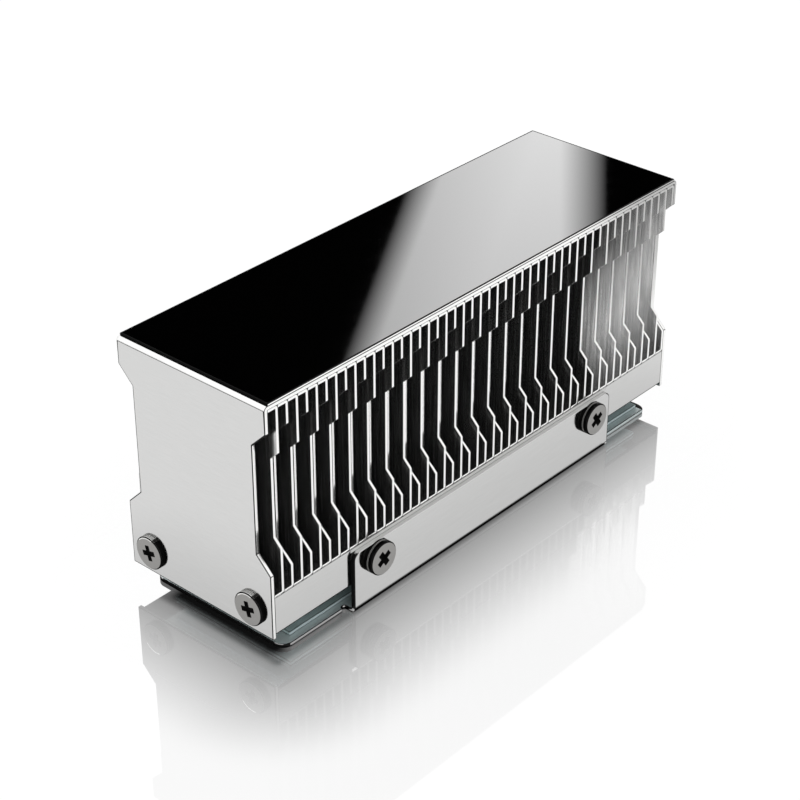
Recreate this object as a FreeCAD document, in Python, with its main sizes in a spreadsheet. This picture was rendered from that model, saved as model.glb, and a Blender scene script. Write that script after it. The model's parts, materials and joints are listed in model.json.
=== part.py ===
"""Finned heat sink for a bare 22 mm wide solid-state drive, as a parametric document.

Frame: X along the drive, Y across it, Z up. The origin is under the middle of the tray, on its underside.
A tray carries the drive between two thermal pads. Its side wings are screwed to a base block. Folded sheet
fins stand on the block, and a folded cover closes the top and both ends. All lengths are in millimetres.
"""
import FreeCAD, Part
import math
import operator
import os
from types import SimpleNamespace

import Sketcher

DIMENSIONS = {
    "block_length": 76.8,
    "block_width": 24.0,
    "block_height": 5.35,
    "block_edge_chamfer": 0.2,
    "fin_count": 48,
    "fin_height": 25.5,
    "fin_thickness": 0.35,
    "fin_bend_facet": 0.26,
    "fin_flange_gap": 0.05,
    "shallow_waist_depth": 1.08,
    "shallow_waist_drop": 6.25,
    "shallow_waist_rise": 6.3,
    "deep_waist_depth": 2.2,
    "deep_waist_drop": 3.05,
    "deep_waist_rise": 3.25,
    "cover_thickness": 0.5,
    "cover_bend_radius": 0.05,
    "cover_skirt": 0.4,
    "panel_thickness": 0.3,
    "tray_end_inset": 1.9,
    "tray_side_inset": 0.8,
    "tray_thickness": 0.6,
    "tray_bend_radius": 0.1,
    "tray_corner_radius": 1.5,
    "wing_end_inset": 12.9,
    "wing_top_inset": 0.5,
    "wing_corner_radius": 1.0,
    "relief_radius": 0.4,
    "pad_end_margin": 1.5,
    "pad_side_margin": 1.0,
    "pad_thickness": 0.5,
    "pad_offset": 0.6,
    "drive_gap": 2.3,
    "shank_diameter": 2.4,
    "tapped_diameter": 2.5,
    "clearance_diameter": 2.8,
    "screw_reach": 4.0,
    "tapped_hole_spare": 0.8,
    "head_diameter": 4.5,
    "head_edge_chamfer": 0.12,
    "cover_head_height": 0.6,
    "tray_head_height": 1.1,
    "recess_span": 2.5,
    "recess_arm_width": 0.75,
    "cover_recess_depth": 0.4,
    "tray_recess_depth": 0.7,
    "cover_recess_turn": 15.0,
    "tray_recess_turn": 33.0,
    "cover_screw_inset": 3.5,
    "tray_screw_inset": 4.15,
}

SHEET = "Dimensions"
SAME_PLACE = 1e-6
AXIS_X = FreeCAD.Vector(1, 0, 0)
AXIS_Y = FreeCAD.Vector(0, 1, 0)
AXIS_Z = FreeCAD.Vector(0, 0, 1)
OPERATIONS = {"+": operator.add, "-": operator.sub, "*": operator.mul, "/": operator.truediv}

doc = FreeCAD.newDocument("ssd_heat_sink")


class Size:
    """A size that knows its value now and the sheet expression it follows, so that sums stay tied."""

    def __init__(self, value, text=None):
        self.value = float(value)
        self.text = text or str(self.value)

    def combine(self, sign, other):
        """Join two sizes by an arithmetic sign."""
        if not isinstance(other, Size):
            other = Size(other)
        return Size(OPERATIONS[sign](self.value, other.value), f"({self.text} {sign} {other.text})")

    def __add__(self, other):
        return self.combine("+", other)

    def __sub__(self, other):
        return self.combine("-", other)

    def __mul__(self, other):
        return self.combine("*", other)

    def __truediv__(self, other):
        return self.combine("/", other)

    def __neg__(self):
        return self.combine("*", -1)


def make_sheet():
    """Write the driving dimensions into the spreadsheet as plain numbers, and give them back."""
    sheet = doc.addObject("Spreadsheet::Sheet", SHEET)
    for row, (name, value) in enumerate(DIMENSIONS.items(), start=1):
        sheet.set(f"A{row}", name.replace("_", " "))
        sheet.set(f"B{row}", str(value))
        sheet.setAlias(f"B{row}", name)
    doc.recompute()
    return SimpleNamespace(**{name: Size(getattr(sheet, name), f"{SHEET}.{name}") for name in DIMENSIONS})


dim = make_sheet()

# Places that follow from the driving dimensions
ZERO = Size(0)
HALF_BLOCK_LENGTH = dim.block_length / 2
HALF_LENGTH = HALF_BLOCK_LENGTH + dim.cover_thickness
HALF_WIDTH = dim.block_width / 2
FIN_PITCH = dim.block_length / dim.fin_count
BLOCK_BOTTOM = dim.tray_thickness + dim.pad_thickness * 2 + dim.drive_gap
BLOCK_TOP = BLOCK_BOTTOM + dim.block_height
FIN_TOP = BLOCK_TOP + dim.fin_height
COVER_TOP = FIN_TOP + dim.cover_thickness
COVER_BOTTOM = BLOCK_BOTTOM - dim.cover_skirt
COVER_OUTER_RADIUS = dim.cover_bend_radius + dim.cover_thickness
TRAY_OUTER_RADIUS = dim.tray_bend_radius + dim.tray_thickness
HALF_TRAY_LENGTH = HALF_BLOCK_LENGTH - dim.tray_end_inset
HALF_TRAY_WIDTH = HALF_WIDTH - dim.tray_side_inset
HALF_WING_LENGTH = HALF_BLOCK_LENGTH - dim.wing_end_inset
WING_FACE = HALF_WIDTH + dim.tray_thickness
WING_TOP = BLOCK_TOP - dim.wing_top_inset
SCREW_HEIGHT = BLOCK_BOTTOM + dim.block_height / 2
COVER_SCREW_PLACE = HALF_WIDTH - dim.cover_screw_inset
TRAY_SCREW_PLACE = HALF_WING_LENGTH - dim.tray_screw_inset


def bind(item, **sizes):
    """Tie properties of an object to sizes, with a dot in a property's path written as two underscores."""
    for path, wanted in sizes.items():
        item.setExpression(path.replace("__", "."), wanted.text)


def new_body(name):
    """Add an empty body that carries its node's name."""
    body = doc.addObject("PartDesign::Body", name)
    body.Label = name
    return body


def new_sketch(body, name, plane_role):
    """Add a sketch to a body, on one of the body's own origin planes."""
    sketch = body.newObject("Sketcher::SketchObject", name)
    plane = next(item for item in body.Origin.OriginFeatures if item.Role == plane_role)
    sketch.AttachmentSupport = (plane, [""])
    sketch.MapMode = "FlatFace"
    return sketch


def hold(sketch, kind, wanted, *places):
    """Add a constraint of a kind to a sketch and tie it to a size."""
    index = sketch.addConstraint(Sketcher.Constraint(kind, *places, wanted.value))
    sketch.setExpression(f"Constraints[{index}]", wanted.text)


def fix_point(sketch, edge, end, across, along):
    """Tie one end of a sketched edge to the sketch's origin, along both of its axes."""
    hold(sketch, "DistanceX", across, -1, 1, edge, end)
    hold(sketch, "DistanceY", along, -1, 1, edge, end)


def polygon(sketch, corners):
    """Draw a closed outline whose corners are pairs of sizes."""
    places = [FreeCAD.Vector(across.value, along.value, 0) for across, along in corners]
    first = sketch.GeometryCount
    for start, end in zip(places, places[1:] + places[:1]):
        sketch.addGeometry(Part.LineSegment(start, end))
    for index, (across, along) in enumerate(corners):
        after = (index + 1) % len(corners)
        sketch.addConstraint(Sketcher.Constraint("Coincident", first + index, 2, first + after, 1))
        fix_point(sketch, first + index, 1, across, along)


def rectangle(sketch, half_length, half_width):
    """Draw a rectangle about the sketch's origin."""
    polygon(sketch, [
        (-half_length, -half_width),
        (half_length, -half_width),
        (half_length, half_width),
        (-half_length, half_width),
    ])


def circle(sketch, across, along, radius):
    """Draw a circle at a place."""
    centre = FreeCAD.Vector(across.value, along.value, 0)
    index = sketch.addGeometry(Part.Circle(centre, AXIS_Z, radius.value))
    fix_point(sketch, index, 3, across, along)
    hold(sketch, "Radius", radius, index)


def pad(body, sketch, name, length, midplane=False, turned=False):
    """Extrude a sketch into material, up from its plane, both ways, or down if turned."""
    feature = body.newObject("PartDesign::Pad", name)
    feature.Profile = sketch
    feature.Midplane = midplane
    feature.Reversed = turned
    bind(feature, Length=length)
    return feature


def cut(body, sketch, name, depth, turned=False):
    """Cut a sketch to a depth below its plane, or above it if turned."""
    feature = body.newObject("PartDesign::Pocket", name)
    feature.Profile = sketch
    feature.Reversed = turned
    bind(feature, Length=depth)


def cut_through(body, sketch, name):
    """Cut a sketch right through the body, both ways from its plane."""
    feature = body.newObject("PartDesign::Pocket", name)
    feature.Profile = sketch
    feature.Type = "ThroughAll"
    feature.Midplane = True


def at(place, wanted):
    """Tell whether two places on one axis are the same."""
    return math.isclose(place, wanted, abs_tol=SAME_PLACE)


def edges_along(shape, axis):
    """Give the name and the middle of each straight edge that runs along an axis."""
    for number, edge in enumerate(shape.Edges, start=1):
        if isinstance(edge.Curve, Part.Line):
            start, end = (vertex.Point for vertex in edge.Vertexes)
            if at(abs((end - start).normalize().dot(axis)), 1):
                yield f"Edge{number}", (start + end) / 2


def round_edges(body, base, name, radius, axis, wanted):
    """Round the straight edges along an axis whose middle passes a test."""
    doc.recompute()
    chosen = [edge for edge, middle in edges_along(base.Shape, axis) if wanted(middle)]
    assert chosen, f"{name} found no edge"
    feature = body.newObject("PartDesign::Fillet", name)
    feature.Base = (base, chosen)
    bind(feature, Radius=radius)
    return feature


def cut_waist(body, depth, drop, rise):
    """Cut a waist with 45 degree ends into both sides of a sheet that spans the block's width.

    drop is from the fins' top down to the waist and rise from the block up to it. The cut overruns the side.
    """
    sketch = new_sketch(body, f"{body.Name}_waist_sketch", "YZ_Plane")
    overrun = depth
    upper = FIN_TOP - drop
    lower = BLOCK_TOP + rise
    floor = HALF_WIDTH - depth
    mouth = HALF_WIDTH + overrun
    for floor_side, mouth_side in ((floor, mouth), (-floor, -mouth)):
        polygon(sketch, [
            (mouth_side, lower - overrun),
            (mouth_side, upper + overrun),
            (floor_side, upper - depth),
            (floor_side, lower + depth),
        ])
    cut_through(body, sketch, f"{body.Name}_waist")


# Fins


def make_fin(number):
    """Fold one fin: a web, and flanges back to the fin before it. Odd fins have the shallow waist.

    The bends are nearly sharp inside, so one slanted facet stands for the outside of each.
    """
    name = f"fin_{number:02d}"
    body = new_body(name)
    sketch = new_sketch(body, f"{name}_section", "XZ_Plane")
    flange_tip = dim.fin_flange_gap - FIN_PITCH
    web_inside = -dim.fin_thickness
    facet = dim.fin_bend_facet
    polygon(sketch, [
        (flange_tip, BLOCK_TOP),
        (-facet, BLOCK_TOP),
        (ZERO, BLOCK_TOP + facet),
        (ZERO, FIN_TOP - facet),
        (-facet, FIN_TOP),
        (flange_tip, FIN_TOP),
        (flange_tip, FIN_TOP - dim.fin_thickness),
        (web_inside, FIN_TOP - dim.fin_thickness),
        (web_inside, BLOCK_TOP + dim.fin_thickness),
        (flange_tip, BLOCK_TOP + dim.fin_thickness),
    ])
    pad(body, sketch, f"{name}_sheet", dim.block_width, midplane=True)
    if number % 2:
        cut_waist(body, dim.shallow_waist_depth, dim.shallow_waist_drop, dim.shallow_waist_rise)
    else:
        cut_waist(body, dim.deep_waist_depth, dim.deep_waist_drop, dim.deep_waist_rise)
    bind(body, Placement__Base__x=FIN_PITCH * number - HALF_BLOCK_LENGTH)
    return body


# Cover, top panel and base block


def make_cover():
    """Fold the cover: a top and two end plates with the deep waist, and holes for its four screws."""
    body = new_body("cover")
    sketch = new_sketch(body, "cover_section", "XZ_Plane")
    polygon(sketch, [
        (-HALF_LENGTH, COVER_BOTTOM),
        (-HALF_LENGTH, COVER_TOP),
        (HALF_LENGTH, COVER_TOP),
        (HALF_LENGTH, COVER_BOTTOM),
        (HALF_BLOCK_LENGTH, COVER_BOTTOM),
        (HALF_BLOCK_LENGTH, FIN_TOP),
        (-HALF_BLOCK_LENGTH, FIN_TOP),
        (-HALF_BLOCK_LENGTH, COVER_BOTTOM),
    ])
    sheet = pad(body, sketch, "cover_sheet", dim.block_width, midplane=True)
    bent = round_edges(body, sheet, "cover_outer_bends", COVER_OUTER_RADIUS, AXIS_Y,
                       lambda middle: at(middle.z, COVER_TOP.value))
    round_edges(body, bent, "cover_inner_bends", dim.cover_bend_radius, AXIS_Y,
                lambda middle: at(middle.z, FIN_TOP.value))
    cut_waist(body, dim.deep_waist_depth, dim.deep_waist_drop, dim.deep_waist_rise)
    holes = new_sketch(body, "cover_hole_sketch", "YZ_Plane")
    for place in (COVER_SCREW_PLACE, -COVER_SCREW_PLACE):
        circle(holes, place, SCREW_HEIGHT, dim.clearance_diameter / 2)
    cut_through(body, holes, "cover_holes")
    return body


def make_top_panel():
    """Lay a thin plate over the flat of the cover, between its two bends."""
    body = new_body("top_panel")
    sketch = new_sketch(body, "top_panel_outline", "XY_Plane")
    rectangle(sketch, HALF_LENGTH - COVER_OUTER_RADIUS, HALF_WIDTH)
    pad(body, sketch, "top_panel_plate", dim.panel_thickness)
    bind(body, Placement__Base__z=COVER_TOP)
    return body


def make_base_block():
    """Make the block, with chamfered lower edges and a blind tapped hole for each screw."""
    body = new_body("base_block")
    sketch = new_sketch(body, "base_block_section", "YZ_Plane")
    chamfer = dim.block_edge_chamfer
    polygon(sketch, [
        (chamfer - HALF_WIDTH, BLOCK_BOTTOM),
        (HALF_WIDTH - chamfer, BLOCK_BOTTOM),
        (HALF_WIDTH, BLOCK_BOTTOM + chamfer),
        (HALF_WIDTH, BLOCK_TOP),
        (-HALF_WIDTH, BLOCK_TOP),
        (-HALF_WIDTH, BLOCK_BOTTOM + chamfer),
    ])
    pad(body, sketch, "base_block_bar", dim.block_length, midplane=True)
    faces = [
        ("far_end", "YZ_Plane", HALF_BLOCK_LENGTH, COVER_SCREW_PLACE, False),
        ("near_end", "YZ_Plane", -HALF_BLOCK_LENGTH, COVER_SCREW_PLACE, True),
        ("front_side", "XZ_Plane", HALF_WIDTH, TRAY_SCREW_PLACE, False),
        ("back_side", "XZ_Plane", -HALF_WIDTH, TRAY_SCREW_PLACE, True),
    ]
    for face, plane, distance, hole_place, turned in faces:
        holes = new_sketch(body, f"{face}_hole_sketch", plane)
        for place in (hole_place, -hole_place):
            circle(holes, place, SCREW_HEIGHT, dim.tapped_diameter / 2)
        bind(holes, AttachmentOffset__Base__z=distance)
        cut(body, holes, f"{face}_holes", dim.screw_reach + dim.tapped_hole_spare, turned)
    return body


# Tray and thermal pads


def make_tray():
    """Fold the tray: a floor with rounded corners, and two wings that rise to the block's sides."""
    body = new_body("tray")
    section = new_sketch(body, "tray_wing_section", "YZ_Plane")
    polygon(section, [
        (-WING_FACE, ZERO),
        (WING_FACE, ZERO),
        (WING_FACE, WING_TOP),
        (HALF_WIDTH, WING_TOP),
        (HALF_WIDTH, dim.tray_thickness),
        (-HALF_WIDTH, dim.tray_thickness),
        (-HALF_WIDTH, WING_TOP),
        (-WING_FACE, WING_TOP),
    ])
    channel = pad(body, section, "tray_wings", HALF_WING_LENGTH * 2, midplane=True)
    bent = round_edges(body, channel, "tray_outer_bends", TRAY_OUTER_RADIUS, AXIS_X,
                       lambda middle: at(middle.z, 0))
    bent = round_edges(body, bent, "tray_inner_bends", dim.tray_bend_radius, AXIS_X,
                       lambda middle: at(middle.z, dim.tray_thickness.value))
    round_edges(body, bent, "tray_wing_corners", dim.wing_corner_radius, AXIS_Y,
                lambda middle: at(middle.z, WING_TOP.value))
    outline = new_sketch(body, "tray_floor_outline", "XY_Plane")
    rectangle(outline, HALF_TRAY_LENGTH, HALF_TRAY_WIDTH)
    floor = pad(body, outline, "tray_floor", dim.tray_thickness)
    round_edges(body, floor, "tray_floor_corners", dim.tray_corner_radius, AXIS_Z,
                lambda middle: at(abs(middle.x), HALF_TRAY_LENGTH.value))
    reliefs = new_sketch(body, "tray_relief_sketch", "XY_Plane")
    relief_place = HALF_WING_LENGTH + dim.relief_radius
    for along in (relief_place, -relief_place):
        for across in (HALF_TRAY_WIDTH, -HALF_TRAY_WIDTH):
            circle(reliefs, along, across, dim.relief_radius)
    cut_through(body, reliefs, "tray_reliefs")
    holes = new_sketch(body, "tray_hole_sketch", "XZ_Plane")
    for place in (TRAY_SCREW_PLACE, -TRAY_SCREW_PLACE):
        circle(holes, place, SCREW_HEIGHT, dim.clearance_diameter / 2)
    cut_through(body, holes, "tray_holes")
    return body


def make_thermal_pad(name, height):
    """Lay one soft pad flat at a height, a little off the tray's middle."""
    body = new_body(name)
    sketch = new_sketch(body, f"{name}_outline", "XY_Plane")
    rectangle(sketch, HALF_TRAY_LENGTH - dim.pad_end_margin, HALF_TRAY_WIDTH - dim.pad_side_margin)
    pad(body, sketch, f"{name}_slab", dim.pad_thickness)
    bind(body, Placement__Base__x=dim.pad_offset, Placement__Base__z=height)
    return body


# Screws


def make_screw(name, sheet_thickness, head_height, recess_depth, recess_turn):
    """Make one cross-recess screw that points down its own Z axis, with the head's underside at zero."""
    body = new_body(name)
    shank = new_sketch(body, f"{name}_shank_outline", "XY_Plane")
    circle(shank, ZERO, ZERO, dim.shank_diameter / 2)
    pad(body, shank, f"{name}_shank", sheet_thickness + dim.screw_reach, turned=True)
    outline = new_sketch(body, f"{name}_head_outline", "XY_Plane")
    circle(outline, ZERO, ZERO, dim.head_diameter / 2)
    head = pad(body, outline, f"{name}_head", head_height)
    doc.recompute()
    rim = [f"Edge{number}" for number, edge in enumerate(head.Shape.Edges, start=1)
           if at(edge.BoundBox.ZMin, head_height.value)]
    bevel = body.newObject("PartDesign::Chamfer", f"{name}_rim")
    bevel.Base = (head, rim)
    bind(bevel, Size=dim.head_edge_chamfer)
    slots = new_sketch(body, f"{name}_recess_sketch", "XY_Plane")
    reach = dim.recess_span / 2
    arm = dim.recess_arm_width / 2
    polygon(slots, [
        (reach, -arm), (reach, arm), (arm, arm), (arm, reach),
        (-arm, reach), (-arm, arm), (-reach, arm), (-reach, -arm),
        (-arm, -arm), (-arm, -reach), (arm, -reach), (arm, -arm),
    ])
    bind(slots, AttachmentOffset__Base__z=head_height, AttachmentOffset__Rotation__Angle=recess_turn)
    cut(body, slots, f"{name}_recess", recess_depth)
    return body


def make_screw_group(name, sheet_thickness, head_height, recess_depth, recess_turn, places):
    """Place four like screws, each turned so that its head faces outwards, and group them under one name."""
    screws = []
    for number, (outwards, level, along, across) in enumerate(places, start=1):
        screw = make_screw(f"{name}_{number}", sheet_thickness, head_height, recess_depth, recess_turn)
        turn = FreeCAD.Rotation(level, outwards.cross(level), outwards, "ZXY")
        screw.Placement = FreeCAD.Placement(FreeCAD.Vector(), turn)
        bind(screw, Placement__Base__x=along, Placement__Base__y=across, Placement__Base__z=SCREW_HEIGHT)
        screws.append(screw)
    group = doc.addObject("Part::Compound", name)
    group.Label = name
    group.Links = screws
    return group


def make_cover_screws():
    """Two screws through each end plate."""
    places = [
        (-AXIS_X, -AXIS_Y, -HALF_LENGTH, -COVER_SCREW_PLACE),
        (-AXIS_X, -AXIS_Y, -HALF_LENGTH, COVER_SCREW_PLACE),
        (AXIS_X, AXIS_Y, HALF_LENGTH, -COVER_SCREW_PLACE),
        (AXIS_X, AXIS_Y, HALF_LENGTH, COVER_SCREW_PLACE),
    ]
    return make_screw_group("cover_screws", dim.cover_thickness, dim.cover_head_height,
                            dim.cover_recess_depth, dim.cover_recess_turn, places)


def make_tray_screws():
    """Two screws through each wing."""
    places = [
        (-AXIS_Y, AXIS_X, -TRAY_SCREW_PLACE, -WING_FACE),
        (-AXIS_Y, AXIS_X, TRAY_SCREW_PLACE, -WING_FACE),
        (AXIS_Y, -AXIS_X, -TRAY_SCREW_PLACE, WING_FACE),
        (AXIS_Y, -AXIS_X, TRAY_SCREW_PLACE, WING_FACE),
    ]
    return make_screw_group("tray_screws", dim.tray_thickness, dim.tray_head_height,
                            dim.tray_recess_depth, dim.tray_recess_turn, places)


def check(nodes):
    """Stop if any object failed to build, or if any node's shape is missing or broken."""
    failed = [item.Name for item in doc.Objects if {"Invalid", "Error"} & set(item.State)]
    assert not failed, f"failed objects: {failed}"
    for node in nodes:
        assert not node.Shape.isNull(), f"{node.Label} has no shape"
        assert node.Shape.isValid(), f"{node.Label} has a broken shape"


def export(nodes):
    """Write each node's shape to a file of its own."""
    os.makedirs("parts", exist_ok=True)
    for node in nodes:
        node.Shape.exportStep(os.path.join("parts", f"{node.Label}.step"))


nodes = [make_fin(number) for number in range(1, int(dim.fin_count.value) + 1)]
nodes += [
    make_cover(),
    make_top_panel(),
    make_base_block(),
    make_tray(),
    make_thermal_pad("thermal_pad_lower", dim.tray_thickness),
    make_thermal_pad("thermal_pad_upper", BLOCK_BOTTOM - dim.pad_thickness),
    make_cover_screws(),
    make_tray_screws(),
]
doc.recompute()
check(nodes)
export(nodes)
print(f"{len(nodes)} nodes written")
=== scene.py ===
"""Studio picture of a finned heat sink for a solid-state drive.

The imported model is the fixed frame. The folded sheets, the block, the pads and the screws are modelled again
here with rounded folds and softened edges, each in the place of its own node. Sizes are in millimetres until a
piece is finished, and then it is brought to metres.
"""

import functools
import json
import logging
import math
from dataclasses import dataclass, field
from enum import Enum, IntEnum
from typing import Callable, Iterable, Sequence

import bmesh
import bpy
from mathutils import Matrix, Vector

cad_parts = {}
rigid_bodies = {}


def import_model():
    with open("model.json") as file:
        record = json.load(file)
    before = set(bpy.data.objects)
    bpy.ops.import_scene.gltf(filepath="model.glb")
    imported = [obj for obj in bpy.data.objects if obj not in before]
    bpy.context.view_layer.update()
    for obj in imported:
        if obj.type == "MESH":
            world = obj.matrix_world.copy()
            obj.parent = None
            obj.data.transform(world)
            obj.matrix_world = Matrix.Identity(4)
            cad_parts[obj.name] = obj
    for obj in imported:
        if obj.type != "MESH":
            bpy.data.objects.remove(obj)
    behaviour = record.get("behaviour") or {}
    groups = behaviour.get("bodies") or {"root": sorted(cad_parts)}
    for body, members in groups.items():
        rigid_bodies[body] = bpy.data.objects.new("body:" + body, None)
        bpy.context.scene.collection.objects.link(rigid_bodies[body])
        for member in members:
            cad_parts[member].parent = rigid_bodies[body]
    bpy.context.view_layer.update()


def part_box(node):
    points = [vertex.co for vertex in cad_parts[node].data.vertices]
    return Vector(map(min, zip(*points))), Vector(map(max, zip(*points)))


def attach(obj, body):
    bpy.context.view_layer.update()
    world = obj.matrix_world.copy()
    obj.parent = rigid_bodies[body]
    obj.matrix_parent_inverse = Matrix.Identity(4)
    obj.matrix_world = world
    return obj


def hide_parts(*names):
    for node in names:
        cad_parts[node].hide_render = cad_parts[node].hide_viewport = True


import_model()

log = logging.getLogger("heat_sink")
MILLIMETRE = 0.001
BODY = "root"
CLOSE = 0.01
NOISE_RANGE = (0.3, 0.7)
LINE_RANGE = (0.35, 0.65)
EDGE_ANGLE = math.radians(35)
SMOOTH_ANGLE = math.radians(50)
FOLD_SEGMENTS = 8
WHITE = (1.0, 1.0, 1.0, 1.0)
SECOND_BOUNCE = 1.5
# How much of a face's normal goes along an axis, where the face looks straight that way, and less and less so.
STRAIGHT, WELL, HALF, SLIGHTLY, HARDLY = 0.9, 0.7, 0.5, 0.2, 0.1
Span = tuple[float, float]
Colour = tuple[float, float, float]
Point = tuple[float, float, float]
Line = tuple[Span, Span]
Place = Sequence[float]
Test = Callable[[Vector], bool]
Socket = bpy.types.NodeSocket
Outputs = bpy.types.NodeOutputs
Material = bpy.types.Material
Piece = bpy.types.Object
Face = bpy.types.MeshPolygon


class Slot(Enum):
    """The record's material slots."""

    FIN = "fin_sheet"
    COVER = "cover_sheet"
    BLOCK = "block_metal"
    TRAY = "tray_sheet"
    PANEL = "gloss_panel"
    PAD = "silicone_pad"
    SCREW = "screw_metal"


class Grain(Enum):
    """Which way the fine rolling marks of a sheet run, as a stretch of the pattern along X, Y and Z."""

    ALONG_X = (0.04, 1.0, 1.0)
    ALONG_Y = (1.0, 0.04, 1.0)
    ALONG_Z = (1.0, 1.0, 0.04)
    NONE = (1.0, 1.0, 1.0)


class Layer(IntEnum):
    """The order of a piece's finishes. The last three are the tray's alone."""

    FACE = 0
    CUT = 1
    LINE = 2
    MILLED = 3
    SHEARED = 4
    INNER = 5


class HeadPart(IntEnum):
    """The order of a screw's finishes."""

    # The side and the recess are shaded copies of the face's metal, painted shade, and the gleam is a painted
    # highlight.
    SIDE = 0
    FACE = 1
    RECESS = 2
    GLEAM = 3


def node_box(node: str) -> tuple[Vector, Vector]:
    """Give the lowest and the highest corner of a CAD node's box in millimetres."""
    low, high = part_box(node)
    return low / MILLIMETRE, high / MILLIMETRE


def near(value: float, target: float) -> bool:
    """Tell whether two lengths in millimetres are as good as the same."""
    return abs(value - target) < CLOSE


def metres(*lengths: float) -> tuple[float, ...]:
    """Bring lengths from millimetres to metres."""
    return tuple(length * MILLIMETRE for length in lengths)


class Shader:
    """A material's or the world's node tree, with short ways to add and join nodes."""

    def __init__(self, tree: bpy.types.NodeTree) -> None:
        """Empty the tree and start it afresh."""
        self.tree = tree
        self.tree.nodes.clear()

    def add(self, kind: str, **settings: object) -> bpy.types.Node:
        """Add a node.

        Args:
            kind: The node's type without its ShaderNode prefix.
            settings: Properties to set on the node.

        Returns:
            The new node.
        """
        node = self.tree.nodes.new(f"ShaderNode{kind}")
        for name, value in settings.items():
            setattr(node, name, value)
        return node

    def plug(self, socket: Socket, value: object) -> None:
        """Join a node's input to another node, or set it.

        Args:
            socket: The input.
            value: A socket to join it to, or a value to set.
        """
        if isinstance(value, Socket):
            self.tree.links.new(value, socket)
        else:
            socket.default_value = value

    def feed(self, node: bpy.types.Node, **inputs: object) -> bpy.types.Node:
        """Set or join a node's inputs by name.

        Args:
            node: The node to feed.
            inputs: Input names in lower case with underscores for spaces, each with a socket or a value.

        Returns:
            The same node.
        """
        sockets = {}
        for socket in node.inputs:
            sockets.setdefault(socket.name.lower().replace(" ", "_"), socket)
        for name, value in inputs.items():
            self.plug(sockets[name], value)
        return node

    def make(self, kind: str, **inputs: object) -> bpy.types.Node:
        """Add a node of a type without its ShaderNode prefix, feed it and return it."""
        return self.feed(self.add(kind), **inputs)

    def fill(self, node: bpy.types.Node, *values: object) -> Socket:
        """Set or join a node's inputs in order.

        Args:
            node: The node to feed.
            values: A socket or a value for each input.

        Returns:
            The node's first output.
        """
        for socket, value in zip(node.inputs, values):
            self.plug(socket, value)
        return node.outputs[0]

    def math(self, operation: str, *values: object) -> Socket:
        """Add a math node on numbers or sockets and return its result."""
        return self.fill(self.add("Math", operation=operation), *values)

    def fold(self, operation: str, *values: object) -> Socket:
        """Join any number of values by one math operation and return the result."""
        return functools.reduce(functools.partial(self.math, operation), values)

    def times(self, *values: object) -> Socket:
        """Multiply numbers or sockets and return the result."""
        return self.fold("MULTIPLY", *values)

    def most(self, *values: object) -> Socket:
        """Return the greatest of numbers or sockets."""
        return self.fold("MAXIMUM", *values)

    def rest(self, share: object) -> Socket:
        """Return what a share leaves of 1."""
        return self.math("SUBTRACT", 1.0, share)

    def layer(self, share: object, under: Socket, over: Socket) -> Socket:
        """Lay a share of one surface over another and return the mixed surface."""
        return self.fill(self.add("MixShader"), share, under, over)

    def blend(self, share: object, first: object, second: object) -> Socket:
        """Blend two numbers or sockets by a share and return the result."""
        return self.make("Mix", factor=share, a=first, b=second).outputs["Result"]

    def parts(self, vector: Socket) -> Outputs:
        """Split a vector into sockets for X, Y and Z."""
        return self.make("SeparateXYZ", vector=vector).outputs

    def dot(self, way: Socket, other: Vector) -> Socket:
        """Measure how far a direction goes along another one.

        Args:
            way: The direction.
            other: The one that it is measured on.

        Returns:
            The dot product.
        """
        node = self.add("VectorMath", operation="DOT_PRODUCT")
        self.fill(node, way, other)
        return node.outputs["Value"]

    def smooth(self, value: Socket, start: float, end: float, low: float = 0.0, high: float = 1.0) -> Socket:
        """Turn a value into a smooth step.

        Args:
            value: What is measured.
            start: Where the step starts.
            end: Where the step ends.
            low: The result at the start.
            high: The result at the end.

        Returns:
            The stepped value.
        """
        node = self.add("MapRange", interpolation_type="SMOOTHSTEP")
        self.feed(node, value=value, from_min=start, from_max=end, to_min=low, to_max=high)
        return node.outputs["Result"]

    def noise(self, grain: Grain, scale: float, detail: float = 3.0) -> Socket:
        """Add noise on object coordinates.

        Args:
            grain: How the noise is stretched.
            scale: How many cells lie in a metre.
            detail: How many octaves it has.

        Returns:
            The noise, about 0.5.
        """
        place = self.add("TexCoord").outputs["Object"]
        stretched = self.make("Mapping", vector=place, scale=grain.value).outputs["Vector"]
        return self.make("TexNoise", vector=stretched, scale=scale, detail=detail).outputs["Fac"]

    def bump(self, height: Socket, strength: float, distance: float) -> Socket:
        """Turn a height pattern into a bumped normal, by a strength from 0 to 1 and a depth in millimetres."""
        node = self.make("Bump", strength=strength, distance=distance * MILLIMETRE, height=height)
        return node.outputs["Normal"]

    def principled(self, **inputs: object) -> None:
        """Make the material's surface a principled one with these inputs."""
        surface = self.make("BsdfPrincipled", **inputs)
        self.make("OutputMaterial", surface=surface.outputs["BSDF"])


def new_material(name: str) -> tuple[Material, Shader]:
    """Make an empty node material.

    Args:
        name: The material's name.

    Returns:
        The material and its shader.
    """
    material = bpy.data.materials.new(name)
    material.use_nodes = True
    return material, Shader(material.node_tree)


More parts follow.
